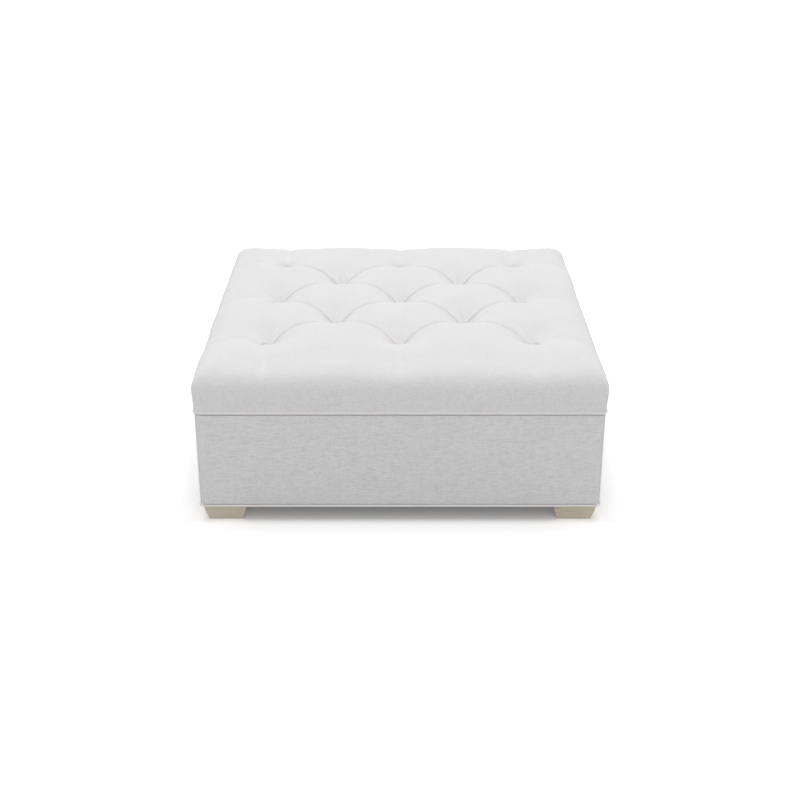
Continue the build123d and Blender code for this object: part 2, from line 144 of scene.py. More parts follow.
# The base cover's wall: its turned edges, the pull at its foot and the groove of its corner seams
SLEEVE_THICKNESS = 0.0075
SLEEVE_DROP = 0.0028  # below the solid's top, for the shadow line under the welt
TURN_TOP = 0.0022
TURN_BOTTOM = 0.0010
BOW_REACH = 0.018
BOW_DEPTH = 0.0016
SEAM_DEPTH = 0.0026
SEAM_REACH = 0.0016

# Welts
UPPER_WELT_RADIUS = 0.0037
LOWER_WELT_RADIUS = 0.0029
WELT_PROUD = 0.0008


# Helpers for shapes


def soft_waves(points, wavelength, seed, terms=8):
    """A smooth seeded unevenness, about -1 to 1, at each point, from waves 0.7 to 1.6 times the wavelength."""
    rng = np.random.default_rng(seed)
    way = rng.normal(size=(terms, 3))
    way /= np.linalg.norm(way, axis=1)[:, None]
    rate = 2 * math.pi / (wavelength * rng.uniform(0.7, 1.6, terms))
    phase = rng.uniform(0, 2 * math.pi, terms)
    return np.sin(points @ (way * rate[:, None]).T + phase).sum(axis=1) / math.sqrt(2 * terms)


def smooth_step(low, high, value):
    share = np.clip((value - low) / (high - low), 0, 1)
    return share * share * (3 - 2 * share)


def smooth_min(a, b, reach):
    share = np.clip(0.5 + 0.5 * (b - a) / reach, 0, 1)
    return b * (1 - share) + a * share - reach * share * (1 - share)


def make_mesh(name, points, faces, smooth=True):
    mesh = bpy.data.meshes.new(name)
    mesh.from_pydata([tuple(p) for p in points], [], [tuple(f) for f in faces])
    mesh.validate()
    if smooth:
        mesh.polygons.foreach_set("use_smooth", [True] * len(mesh.polygons))
    mesh.update()
    piece = bpy.data.objects.new(name, mesh)
    bpy.context.scene.collection.objects.link(piece)
    return piece


def dress(piece, material, slot, *nodes):
    """Gives a new piece its material and its body, and hides the CAD parts of the nodes that it stands for."""
    piece.data.materials.append(material)
    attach(piece, "root")
    if nodes:
        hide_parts(*nodes)
    return piece


def rounded_square(half, corner, side_steps, corner_steps):
    """Points and outward directions round a square with round corners, anticlockwise from the back's right end."""
    places, ways = [], []
    straight = half - corner
    for quarter in range(4):
        angle = math.pi / 2 + quarter * math.pi / 2
        out = np.array([math.cos(angle), math.sin(angle)])
        along = np.array([-out[1], out[0]])
        for step in range(side_steps):
            places.append(out * half + along * straight * (2 * step / side_steps - 1))
            ways.append(out)
        for step in range(corner_steps):
            turn = angle + math.pi / 2 * step / corner_steps
            way = np.array([math.cos(turn), math.sin(turn)])
            places.append((out + along) * straight + way * corner)
            ways.append(way)
    return np.array(places), np.array(ways)


def swept_ring(name, rings, material, slot, *nodes):
    """A closed band from closed sections: rings[k][i] is point i of section k."""
    count, size = len(rings), len(rings[0])
    faces = []
    for k in range(count):
        here, there = k * size, (k + 1) % count * size
        for i in range(size):
            after = (i + 1) % size
            faces.append((here + i, here + after, there + after, there + i))
    return dress(make_mesh(name, np.array(rings).reshape(-1, 3), faces), material, slot, *nodes)


# Helpers for materials


def new_material(name):
    material = bpy.data.materials.new(name)
    material.use_nodes = True
    tree = material.node_tree
    tree.nodes.clear()
    output = tree.nodes.new("ShaderNodeOutputMaterial")
    shader = tree.nodes.new("ShaderNodeBsdfPrincipled")
    tree.links.new(shader.outputs[0], output.inputs[0])
    return material, tree, shader


def put(tree, value, socket):
    if isinstance(value, bpy.types.NodeSocket):
        tree.links.new(value, socket)
    else:
        socket.default_value = value


def math_node(tree, operation, *values):
    made = tree.nodes.new("ShaderNodeMath")
    made.operation = operation
    for index, value in enumerate(values):
        put(tree, value, made.inputs[index])
    return made.outputs[0]


def times(tree, one, two):
    return math_node(tree, "MULTIPLY", one, two)


def plus(tree, first, *others):
    for other in others:
        first = math_node(tree, "ADD", first, other)
    return first


def minus(tree, one, two):
    return math_node(tree, "SUBTRACT", one, two)


def object_place(tree):
    return tree.nodes.new("ShaderNodeTexCoord").outputs["Object"]


def split(tree, vector):
    made = tree.nodes.new("ShaderNodeSeparateXYZ")
    tree.links.new(vector, made.inputs[0])
    return made.outputs


def stretched(tree, place, scale, turn=(0, 0, 0)):
    made = tree.nodes.new("ShaderNodeMapping")
    tree.links.new(place, made.inputs["Vector"])
    made.inputs["Scale"].default_value = scale
    made.inputs["Rotation"].default_value = turn
    return made.outputs[0]


def noise_value(tree, place, scale=1.0, detail=2.0, roughness=0.5):
    made = tree.nodes.new("ShaderNodeTexNoise")
    tree.links.new(place, made.inputs["Vector"])
    made.inputs["Scale"].default_value = scale
    made.inputs["Detail"].default_value = detail
    made.inputs["Roughness"].default_value = roughness
    return made.outputs["Fac"]


def ramp(tree, value, stops):
    made = tree.nodes.new("ShaderNodeValToRGB")
    tree.links.new(value, made.inputs[0])
    band = made.color_ramp
    while len(band.elements) < len(stops):
        band.elements.new(0.5)
    for element, (place, colour) in zip(band.elements, stops):
        element.position = place
        element.color = (*colour, 1)
    return made.outputs[0]


def bump(tree, height, distance, strength, shader, before=None):
    made = tree.nodes.new("ShaderNodeBump")
    made.inputs["Distance"].default_value = distance
    made.inputs["Strength"].default_value = strength
    tree.links.new(height, made.inputs["Height"])
    if before is not None:
        tree.links.new(before, made.inputs["Normal"])
    tree.links.new(made.outputs[0], shader.inputs["Normal"])
    return made.outputs[0]


def scaled(colour, share):
    return tuple(c * share for c in colour)


# Materials


def linen(name, colour, streaks):
    """Flat-woven linen look: two crossing thread families with slubs, laid by the surface's own direction.

    streaks[k][j] says how strongly threads along axis k show on a face that looks along axis j."""
    across_thread, along_thread, thread_pitch = 430.0, 65.0, 0.0009
    wander_gain, weave_share, cloud_share = 5.0, 0.05, 0.16
    material, tree, shader = new_material(name)
    place = object_place(tree)
    facing = split(tree, tree.nodes.new("ShaderNodeNewGeometry").outputs["Normal"])
    square = [times(tree, f, f) for f in facing]

    # Slubs: noise drawn out along each axis
    parts = []
    for axis in range(3):
        scale = [across_thread] * 3
        scale[axis] = along_thread
        value = noise_value(tree, stretched(tree, place, scale), detail=3.0, roughness=0.65)
        one, two = [other for other in range(3) if other != axis]
        shown = [times(tree, square[other], streaks[axis][other]) for other in (one, two)]
        parts.append(times(tree, minus(tree, value, 0.5), plus(tree, *shown)))
    slubs = plus(tree, *parts)

    # Weave: two fine waves that cross on each face, a little unsteady
    wander = times(tree, noise_value(tree, place, scale=90.0, detail=2.0), wander_gain)
    rate = 2 * math.pi / thread_pitch
    waves = [math_node(tree, "SINE", plus(tree, times(tree, c, rate), wander)) for c in split(tree, place)]
    parts = []
    for axis in range(3):
        one, two = [other for other in range(3) if other != axis]
        parts.append(times(tree, times(tree, waves[one], waves[two]), square[axis]))
    weave = plus(tree, *parts)

    cloud = minus(tree, noise_value(tree, place, scale=14.0, detail=4.0, roughness=0.6), 0.5)
    tone = plus(tree, slubs, times(tree, weave, weave_share), times(tree, cloud, cloud_share), 0.5)
    stops = [(0.0, scaled(colour, 0.80)), (0.5, colour), (1.0, scaled(colour, 1.12))]
    tree.links.new(ramp(tree, tone, stops), shader.inputs["Base Color"])
    shader.inputs["Roughness"].default_value = 0.92
    shader.inputs["Specular IOR Level"].default_value = 0.15
    shader.inputs["Sheen Weight"].default_value = 0.03
    shader.inputs["Sheen Roughness"].default_value = 0.5
    coarse = bump(tree, slubs, 0.0006, 0.45, shader)
    bump(tree, weave, 0.00018, 0.6, shader, coarse)
    return material


def washed_oak(name, pale, dark):
    """Pale whitewashed oak with fine grain along X and short pores."""
    material, tree, shader = new_material(name)
    place = object_place(tree)
    drift = noise_value(tree, stretched(tree, place, (4, 14, 14)), detail=3.0)
    lines = noise_value(tree, stretched(tree, place, (9, 160, 160)), detail=5.0, roughness=0.6)
    pores = noise_value(tree, stretched(tree, place, (60, 1100, 1100)), detail=2.0)
    tone = plus(tree, times(tree, drift, 0.45), times(tree, lines, 0.55))
    wash = ramp(tree, tone, [(0.36, dark), (0.47, scaled(pale, 0.93)), (0.62, pale)])
    deep = ramp(tree, pores, [(0.30, (0.62, 0.62, 0.62)), (0.42, (1, 1, 1))])
    mixed = tree.nodes.new("ShaderNodeMix")
    mixed.data_type = "RGBA"
    mixed.blend_type = "MULTIPLY"
    mixed.inputs["Factor"].default_value = 0.55
    tree.links.new(wash, mixed.inputs["A"])
    tree.links.new(deep, mixed.inputs["B"])
    tree.links.new(mixed.outputs["Result"], shader.inputs["Base Color"])
    tree.links.new(plus(tree, times(tree, lines, 0.2), 0.5), shader.inputs["Roughness"])
    shader.inputs["Specular IOR Level"].default_value = 0.35
    bump(tree, pores, 0.0003, 0.4, shader)
    return material


def plain_wood(name, pale, dark, scale, turn=(0, 0, 0)):
    """Unfinished softwood or board: growth bands with a fine fibre."""
    material, tree, shader = new_material(name)
    place = stretched(tree, object_place(tree), scale, turn)
    bands = tree.nodes.new("ShaderNodeTexWave")
    bands.wave_type = "BANDS"
    bands.bands_direction = "Y"
    bands.inputs["Scale"].default_value = 1.0
    bands.inputs["Distortion"].default_value = 5.0
    bands.inputs["Detail"].default_value = 3.0
    tree.links.new(place, bands.inputs["Vector"])
    fibre = noise_value(tree, place, scale=9.0, detail=4.0)
    tone = plus(tree, times(tree, bands.outputs["Fac"], 0.5), times(tree, fibre, 0.5))
    tree.links.new(ramp(tree, tone, [(0.2, dark), (0.75, pale)]), shader.inputs["Base Color"])
    shader.inputs["Roughness"].default_value = 0.75
    bump(tree, fibre, 0.0003, 0.35, shader)
    return material


def brushed(name, colour, metallic, roughness, scale):
    """Plated steel with faint turning marks."""
    material, tree, shader = new_material(name)
    marks = noise_value(tree, stretched(tree, object_place(tree), (scale, scale, scale * 6)), detail=2.0)
    tree.links.new(ramp(tree, marks, [(0.3, scaled(colour, 0.8)), (0.7, colour)]), shader.inputs["Base Color"])
    tree.links.new(plus(tree, times(tree, marks, 0.2), roughness - 0.1), shader.inputs["Roughness"])
    shader.inputs["Metallic"].default_value = metallic
    bump(tree, marks, 0.0001, 0.3, shader)
    return material


def fibrous(name, colour, scale, depth):
    """Twine or non-woven cloth: cloudy, with a fine open texture."""
    material, tree, shader = new_material(name)
    fine = noise_value(tree, object_place(tree), scale=scale, detail=6.0, roughness=0.7)
    tree.links.new(ramp(tree, fine, [(0.3, scaled(colour, 0.72)), (0.6, colour)]), shader.inputs["Base Color"])
    shader.inputs["Roughness"].default_value = 0.95
    bump(tree, fine, depth, 0.5, shader)
    return material


LINEN_COLOUR = (0.80, 0.788, 0.795)
PINE = [(0.70, 0.55, 0.37), (0.56, 0.40, 0.24)]
fabric = linen("linen_fabric", LINEN_COLOUR, [(0, 0.92, 0.14), (0.95, 0, 0.48), (0.8, 0.95, 0)])
# The base's linen is a darker copy of the cushion's linen, at 0.97: painted shade for the lower wall, which takes
# less light
base_fabric_shaded = linen("linen_base_shaded", scaled(LINEN_COLOUR, 0.97), [(0, 1.55, 0.9), (1.55, 0, 0.9), (0.8, 0.8, 0)])
# The welts' and buttons' linen is a lighter copy of the cushion's linen, at 1.03: painted light for the cords'
# bright band
welt_fabric_lit = linen("linen_welt_lit", scaled(LINEN_COLOUR, 1.03), [(0, 0.4, 0.4), (0.4, 0, 0.4), (0.4, 0.4, 0)])
oak = washed_oak("washed_oak", (0.72, 0.64, 0.52), (0.50, 0.41, 0.30))
pine_x = plain_wood("pine_along_x", *PINE, (2, 60, 60))
pine_y = plain_wood("pine_along_y", *PINE, (60, 2, 60), (0, 0, math.pi / 2))
pine_z = plain_wood("pine_along_z", *PINE, (60, 60, 2))
board = plain_wood("board", (0.62, 0.48, 0.32), (0.50, 0.37, 0.23), (5, 5, 420))
steel = brushed("zinc_steel", (0.62, 0.62, 0.60), 1.0, 0.4, 900.0)
twine = fibrous("tufting_twine", (0.74, 0.68, 0.54), 1500.0, 0.0003)
cambric = fibrous("black_cambric", (0.035, 0.035, 0.037), 900.0, 0.0002)


# The tufted cushion


def tuft_surroundings(x, y):
    """Distance to the nearest tuft, the turn about it, and how far a place lies towards a pillow or a pleat."""
    near, turn = np.full(x.shape, 1.0), np.zeros(x.shape)
    across, back = np.ones(x.shape), np.ones(x.shape)
    for i, j in TUFTS:
        dx, dy = x - i * PITCH_X, y - j * PITCH_Y
        span = np.hypot(dx, dy)
        closer = span < near
        spin = 0.9 * i + 1.7 * j  # so that no two tufts have their gathers alike
        near = np.where(closer, span, near)
        turn = np.where(closer, np.arctan2(dy, dx) + spin, turn)
        across = np.where(closer, (dx / PITCH_X) ** 2, across)
        back = np.where(closer, (dy / PITCH_Y) ** 2, back)
    total = across + back + 1e-12
    straight = ((across - back) / total) ** 2
    past_x, past_y = np.abs(x) > OUTER_X, np.abs(y) > OUTER_Y
    choices = [past_x & past_y, past_y, past_x]
    pillow = np.select(choices, [1 - straight, (across / total) ** 2, (back / total) ** 2], straight)
    pleat = np.select(choices, [straight, (back / total) ** 2, (across / total) ** 2], 0)
    return near, turn, pillow, pleat


def eased_power(share):
    """share to the power of FULLNESS, without a sharp line where it is 0."""
    start = PILLOW_EASE**FULLNESS
    end = (1 + PILLOW_EASE**2) ** (FULLNESS / 2)
    return ((share**2 + PILLOW_EASE**2) ** (FULLNESS / 2) - start) / (end - start)


def valley(gap):
    """Depth of a pleat's valley, 1 at the pleat and 0 from one pitch away."""
    return 1 - (1 - eased_power(1 - np.clip(gap, 0, 1))) ** 2


def groove(gap):
    """Depth of the soft fold down the middle of an outer pleat."""
    return PLEAT_FOLD * np.exp(-((gap / PLEAT_REACH) ** 2))


def roll_dip(place, outer, pitch):
    """How deep the pleats cut into the rolled edge at a place along it."""
    far = np.abs(place)
    row = far / pitch
    gap = np.where(far > outer, row - 2, np.abs(row - 2 * np.round(row / 2)))
    return ROLL_DIP * valley(gap) + groove(gap * pitch)


def gathered_rim(near, turn, outside):
    """Height of the gathers round the wells, calmer on the outer side of the outer tufts."""
    waves = sum(height * np.sin(count * turn + phase) for count, height, phase in GATHER_WAVES)
    waves *= 1 - OUTER_CALM * smooth_step(*OUTER_CALM_RUN, outside)
    reach = smooth_step(WELL_RADIUS, GATHER_FULL, near) * (1 - smooth_step(*GATHER_FADE, near))
    return GATHER_HEIGHT * (GATHER_LIFT + waves) * reach


def tufted_top(x, y):
    """Height of the pillows: full between low creases, drawn down in a cone and a narrow well at each tuft."""
    far_x, far_y = np.abs(x), np.abs(y)
    past_x, past_y = far_x > OUTER_X, far_y > OUTER_Y
    choices = [past_x & past_y, past_y, past_x]
    way_x = np.clip((far_x - OUTER_X) / (SLAB_HALF - OUTER_X), 0, 1)
    way_y = np.clip((far_y - OUTER_Y) / (SLAB_HALF - OUTER_Y), 0, 1)
    u = np.clip(x, -OUTER_X, OUTER_X) / PITCH_X
    v = np.clip(y, -OUTER_Y, OUTER_Y) / PITCH_Y

    # How low a place lies between the pillows, from 0 on a crest to 1 in a crease or pleat
    p, q = (u + v - 1) / 2, (u - v - 1) / 2
    off_p, off_q = np.abs(p - np.round(p)), np.abs(q - np.round(q))
    low = 1 - (1 - eased_power(2 * off_p)) * (1 - eased_power(2 * off_q))
    ease_x, ease_y = 1 - PLEAT_EASE * way_x, 1 - PLEAT_EASE * way_y
    valley_x = valley((far_x - OUTER_X) / PITCH_X) * ease_y
    valley_y = valley((far_y - OUTER_Y) / PITCH_Y) * ease_x
    corner = -smooth_min(-valley_x, -valley_y, CORNER_BLEND)
    low = np.select(choices, [corner, low * ease_y, low * ease_x], low)

    near, turn, pillow, pleat = tuft_surroundings(x, y)
    left, end = PIT_REACH - near, PIT_REACH - HALF_CREASE
    cone = left + np.sqrt(left**2 + PIT_SOFTNESS**2) - end - math.hypot(end, PIT_SOFTNESS)
    cone = np.maximum(cone, 0) * PIT_SLOPE / 2 * (1 + NOSE_DROP * pillow - PLEAT_RISE * pleat)
    edge = (way_x**EDGE_SQUARENESS + way_y**EDGE_SQUARENESS) ** (2 / EDGE_SQUARENESS)
    level = CREST - CREASE_DEPTH * low - cone - EDGE_FALL * edge

    # A tight fold along each crease and a wide one down each pleat
    crease = (0.5 - np.maximum(off_p, off_q)) * math.sqrt(2) * PITCH_X
    to_column = np.abs(u - 2 * np.round(u / 2)) * PITCH_X
    to_row = np.abs(v - 2 * np.round(v / 2)) * PITCH_Y
    to_corner = np.minimum(far_x - OUTER_X, far_y - OUTER_Y)
    crease = np.select(choices, [to_corner, to_column, to_row], crease)
    way = np.maximum(way_x, way_y)
    fold = FOLD_SHALLOW + (FOLD_DEEP - FOLD_SHALLOW) * np.exp(-near / FOLD_FADE)
    level -= fold * (1 - smooth_step(0, FOLD_END, way)) * np.exp(-crease / FOLD_REACH)
    level -= smooth_step(PLEAT_START, PLEAT_FULL, way) * groove(crease)

    level -= WELL_DEPTH * (1 - smooth_step(WELL_FOOT, WELL_RADIUS, near))
    level = np.maximum(level, SEAT + WELL_FLOOR)
    return level + gathered_rim(near, turn, np.maximum(far_x - OUTER_X, far_y - OUTER_Y))


def roll_curve():
    """The rolled edge by arc length from its start on the crown: tight low down, easing into the crown."""
    tilt = np.linspace(0, ROLL_ANGLE, 200)
    middle = (tilt[1:] + tilt[:-1]) / 2
    step = np.interp(middle, ROLL_TILTS, ROLL_RADII) * np.diff(tilt)
    walk = np.r_[0, np.cumsum(step)]
    inward = np.r_[0, np.cumsum(step * np.sin(middle))]
    rise = np.r_[0, np.cumsum(step * np.cos(middle))]
    return (walk[-1] - walk)[::-1], (WIDEST_HALF - inward)[::-1], (WIDEST_LEVEL + rise)[::-1], tilt[::-1]


ROLL_WALK, ROLL_HALF, ROLL_LEVEL, ROLL_LEAN = roll_curve()
ROLL_START = ROLL_HALF[0]
SIDE_HEIGHT = WIDEST_LEVEL - UPPER_WELT_TOP - TUCK_GAP


def roll_profile(run):
    """Half-width, level and corner radius of the rolled edge and side, by distance past the roll's start."""
    quarter = ROLL_WALK[-1]
    half = np.interp(run, ROLL_WALK, ROLL_HALF)
    level = np.interp(run, ROLL_WALK, ROLL_LEVEL)
    corner = TOP_CORNER + (WIDEST_CORNER - TOP_CORNER) * np.clip(run / quarter, 0, 1)
    down = np.clip(run - quarter, 0, SIDE_HEIGHT)
    half = half - SIDE_BULGE * (down / SIDE_HEIGHT) ** 2
    corner = corner + (BASE_CORNER - WIDEST_CORNER) * down / SIDE_HEIGHT
    turn = np.clip((run - quarter - SIDE_HEIGHT) / TUCK_RADIUS, 0, math.pi / 2)
    tucked = TUCK_RADIUS * (1 - np.cos(turn))
    under = np.clip(run - quarter - SIDE_HEIGHT - TUCK_RADIUS * math.pi / 2, 0, 1)
    level = level - down - TUCK_RADIUS * np.sin(turn) - under
    return half - tucked, level, np.clip(corner - tucked * TUCK_SHARPENING, LEAST_CORNER, 1)


def grid_lines(pitch, edge_steps, roll_lines):
    """Grid lines from the centre outwards: closer together at the tufts, then to the roll, then down the side."""
    share = np.arange(PITCH_STEPS) / PITCH_STEPS
    eased = share - TUFT_CROWDING * np.sin(2 * math.pi * share) / (2 * math.pi)
    inner = np.concatenate([(eased + row) * pitch for row in range(2)])
    way = np.arange(edge_steps) / edge_steps
    edge = 2 * pitch + (0.5 * way + 0.5 * way**2) * (ROLL_START - 2 * pitch)
    out = np.concatenate([inner, edge, ROLL_START + roll_lines])
    return np.concatenate([-out[:0:-1], out])


def round_off(a, b, ring, along):
    """Where each grid point comes to lie: all rings, on roll and side too, are squares with round corners."""
    rolled, roll_level, roll_corner = roll_profile(np.clip(ring - ROLL_START, 0, 1))
    half = np.where(ring > ROLL_START, rolled, ring)
    corner = np.where(ring > ROLL_START, roll_corner, TOP_CORNER * smooth_step(STRAIGHT_TO, ROLL_START, ring))
    reach = half - corner + corner * math.pi / 4
    beyond = np.clip((along - STRAIGHT_TO) / np.maximum(ring - STRAIGHT_TO, 1e-9), 0, 1)
    place = np.where(along > STRAIGHT_TO, STRAIGHT_TO + beyond * (reach - STRAIGHT_TO), along)
    turn = np.clip((place - half + corner) / np.maximum(corner, 1e-9), 0, math.pi / 4)
    far = np.where(turn > 0, half - corner + corner * np.cos(turn), half)
    near = np.where(turn > 0, half - corner + corner * np.sin(turn), place)
    sideways = np.abs(a) >= np.abs(b)
    return np.sign(a) * np.where(sideways, far, near), np.sign(b) * np.where(sideways, near, far), roll_level


def cushion_points(a, b):
    """The cushion's surface over its grid: tufted top, crown, rolled edge with its pleats, side and tuck."""
    ring = np.maximum(np.abs(a), np.abs(b))
    along = np.minimum(np.abs(a), np.abs(b))
    sideways = np.abs(a) >= np.abs(b)
    x, y, roll_level = round_off(a, b, ring, along)
    top = tufted_top(x, y)
    side = np.where(ring > ROLL_START, roll_level, ROLL_LEVEL[0] + CROWN_SLOPE * (ROLL_START - ring))

    # The pleats cut in square to the surface, and fade down the roll and towards its corners
    run = np.clip(ring - ROLL_START, 0, ROLL_WALK[-1])
    tilt = math.pi / 2 - np.interp(run, ROLL_WALK, ROLL_LEAN)
    dip = np.where(sideways, roll_dip(y, OUTER_Y, PITCH_Y), roll_dip(x, OUTER_X, PITCH_X))
    dip *= 1 - smooth_step(0, ROLL_DIP_RUN, run)
    dip *= smooth_step(0, ROLL_BLEND, ring - along)
    inward = dip * np.sin(tilt) * smooth_step(ROLL_START - ROLL_BLEND, ROLL_START, ring)
    x = x - np.sign(a) * np.where(sideways, inward, 0)
    y = y - np.sign(b) * np.where(sideways, 0, inward)
    z = smooth_min(top, side - dip * np.cos(tilt), CROWN_BLEND)
    return np.stack([x, y, z], axis=-1).reshape(-1, 3)


def add_unevenness(points):
    """Moves the points a little, as stuffing by hand does, with none of it at the seam."""
    sideways, upwards, broad = 0.0013, 0.0009, 0.16
    ripple, fine = 0.00018, 0.045
    calm_height = 0.03
    calm = smooth_step(UPPER_WELT_TOP, UPPER_WELT_TOP + calm_height, points[:, 2])
    flat = np.stack([points[:, 0], points[:, 1], np.zeros(len(points))], axis=1)
    shift = np.stack([soft_waves(flat, broad, seed) for seed in (3, 4, 5)], axis=1)
    waves = soft_waves(points, fine, 6)
    points[:, :2] += sideways * shift[:, :2] * calm[:, None]
    points[:, 2] += (upwards * shift[:, 2] + ripple * waves) * calm


def build_cushion():
    side_run = ROLL_WALK[-1] + SIDE_HEIGHT + TUCK_RADIUS * math.pi / 2 + HEM
    roll_lines = np.linspace(0, side_run, ROLL_STEPS)
    lines_x = grid_lines(PITCH_X, EDGE_STEPS_X, roll_lines)
    lines_y = grid_lines(PITCH_Y, EDGE_STEPS_Y, roll_lines)
    points = cushion_points(*np.meshgrid(lines_x, lines_y, indexing="ij"))
    add_unevenness(points)

    # The first corner of each face is chosen so that its diagonal runs along the nearest crease
    rows, columns = len(lines_x), len(lines_y)
    index = np.arange(rows * columns).reshape(rows, columns)
    faces = []
    centre_u = (lines_x[1:] + lines_x[:-1]) / (2 * PITCH_X)
    centre_v = (lines_y[1:] + lines_y[:-1]) / (2 * PITCH_Y)
    for i in range(rows - 1):
        for j in range(columns - 1):
            corners = [index[i, j], index[i + 1, j], index[i + 1, j + 1], index[i, j + 1]]
            even = (math.floor(centre_u[i]) + math.floor(centre_v[j])) % 2 == 0
            faces.append(corners if even else corners[1:] + corners[:1])
    rim = list(index[:, 0]) + list(index[-1, 1:]) + list(index[-2::-1, -1]) + list(index[0, -2:0:-1])
    faces.append([int(k) for k in rim[::-1]])
    return make_mesh("tufted_cushion", points, faces)


cushion = dress(build_cushion(), fabric, "linen", "top_cover", "top_batting", "foam_core")


# Covered buttons


def build_buttons():
    """Domed buttons with finely pleated rims, each from its centre outwards and down to its seat."""
    spokes, dome_rings, centre_radius = 48, 9, 0.0004
    pleats, pleat_height, pleat_start = 12, 0.00022, 0.72
    below = [(0.5, 1.0), (0.0, 0.9)]  # rise and radius of the two rings under the dome, as shares
    points, faces = [], []
    for i, j in TUFTS:
        start = len(points)
        spin = 1.1 * i + 0.7 * j
        for ring in range(dome_rings + 1 + len(below)):
            share = min(ring / dome_rings, 1)
            radius = max(BUTTON_RADIUS * math.sin(math.pi / 2 * share), centre_radius)
            rise = BUTTON_RIM + BUTTON_RISE * math.cos(math.pi / 2 * share)
            if ring > dome_rings:
                rise_share, radius_share = below[ring - dome_rings - 1]
                rise, radius = BUTTON_RIM * rise_share, BUTTON_RADIUS * radius_share
            for spoke in range(spokes):
                angle = 2 * math.pi * spoke / spokes + spin
                pleat = pleat_height * math.sin(pleats * angle) * smooth_step(pleat_start, 1.0, share)
                points.append((i * PITCH_X + (radius + pleat) * math.cos(angle),
                               j * PITCH_Y + (radius + pleat) * math.sin(angle), SEAT + rise + pleat))
        last = dome_rings + len(below)
        for ring in range(last):
            for spoke in range(spokes):
                one, two = start + ring * spokes + spoke, start + ring * spokes + (spoke + 1) % spokes
                faces.append((one, one + spokes, two + spokes, two))
        faces.append(tuple(start + spoke for spoke in range(spokes)))
        faces.append(tuple(start + last * spokes + spoke for spoke in range(spokes - 1, -1, -1)))
    return make_mesh("covered_buttons", points, faces)


dress(build_buttons(), welt_fabric_lit, "linen", "tufting_buttons")


# Base cover and welts


def sleeve_section():
    """The wall's outline as inward distance and level: up the outside, over the turned-in top, down inside."""
    top = SLEEVE_TOP - SLEEVE_DROP
    levels = np.concatenate([
        np.linspace(SLEEVE_BOTTOM + TURN_BOTTOM, SLEEVE_BOTTOM + BOW_REACH, 9)[:-1],
        np.linspace(SLEEVE_BOTTOM + BOW_REACH, top - TURN_TOP, 54),
    ])
    bow = BOW_DEPTH * np.clip(1 - (levels - SLEEVE_BOTTOM) / BOW_REACH, 0, 1) ** 2
    section = []
    for turn in (0, 0.5, 1.0):
        inward = bow[0] + TURN_BOTTOM * (1 - math.sin(turn))
        section.append((inward, SLEEVE_BOTTOM + TURN_BOTTOM * (1 - math.cos(turn))))
    section += list(zip(bow, levels))
    for turn in (0.3, 0.6, 0.9, 1.2, math.pi / 2):
        section.append((TURN_TOP * (1 - math.cos(turn)), top - TURN_TOP * (1 - math.sin(turn))))
    section += [(SLEEVE_THICKNESS, level) for level in (top, (top + SLEEVE_BOTTOM) / 2, SLEEVE_BOTTOM)]
    return np.array(section).T


def build_base_cover():
    """Four panels over batting, as one band with a groove at each corner seam."""
    broad, fine = 0.0004, 0.00015
    inward, level = sleeve_section()
    outside = inward < SLEEVE_THICKNESS
    middle = np.sin(np.pi * (level - SLEEVE_BOTTOM) / (SLEEVE_TOP - SLEEVE_BOTTOM))
    rings = []
    for place, way in zip(*rounded_square(BASE_HALF, BASE_CORNER, side_steps=150, corner_steps=24)):
        from_seam = abs(math.atan2(way[1], way[0]) % (math.pi / 2) - math.pi / 4) * BASE_CORNER
        seam = SEAM_DEPTH * math.exp(-((from_seam / SEAM_REACH) ** 2))
        ring = np.stack([place[0] - inward * way[0], place[1] - inward * way[1], level], axis=1)
        wavy = broad * soft_waves(ring, 0.14, 21) + fine * soft_waves(ring, 0.035, 22)
        push = np.where(outside, middle**0.5 * wavy - seam, 0)
        ring[:, :2] += push[:, None] * way
        rings.append(ring)
    return rings


panels = build_base_cover()
base_cover = swept_ring("base_cover_panels", panels, base_fabric_shaded, "linen", "base_cover", "base_batting")


def build_welt(half_outside, top_level, radius, seed):
    """A cord in a fabric tube, slightly uneven, with the start of its sewn tail running in under the seam."""
    sides, tail_turn, tail_reach, tail_half = 22, 0.5, 1.15, 0.0006
    swell, wander = 0.020, 0.00008
    places, ways = rounded_square(half_outside - radius, BASE_CORNER, side_steps=220, corner_steps=20)
    centre = top_level - radius
    spots = np.stack([places[:, 0], places[:, 1], np.full(len(places), centre)], axis=1)
    thick = 1 + swell * soft_waves(spots, 0.05, seed)
    rise = wander * soft_waves(spots, 0.16, seed + 1)
    rings = []
    for place, way, share, lift in zip(places, ways, thick, rise):
        ring = []
        for side in range(sides):
            angle = 2 * math.pi * side / sides
            out, up = radius * share * math.cos(angle), radius * share * math.sin(angle)
            if abs(angle - math.pi) < tail_turn:
                out = -radius * tail_reach
                up = math.copysign(min(abs(up), tail_half), up)
            ring.append((place[0] + out * way[0], place[1] + out * way[1], centre + up + lift))
        rings.append(ring)
    return rings


upper_welt = build_welt(UPPER_WELT_HALF + WELT_PROUD, UPPER_WELT_TOP + WELT_PROUD / 2, UPPER_WELT_RADIUS, 31)
swept_ring("upper_welt_cord", upper_welt, welt_fabric_lit, "linen", "upper_welt")
lower_welt = build_welt(LOWER_WELT_HALF + WELT_PROUD, LOWER_WELT_TOP, LOWER_WELT_RADIUS, 41)
swept_ring("lower_welt_cord", lower_welt, welt_fabric_lit, "linen", "lower_welt")


# Dust cover


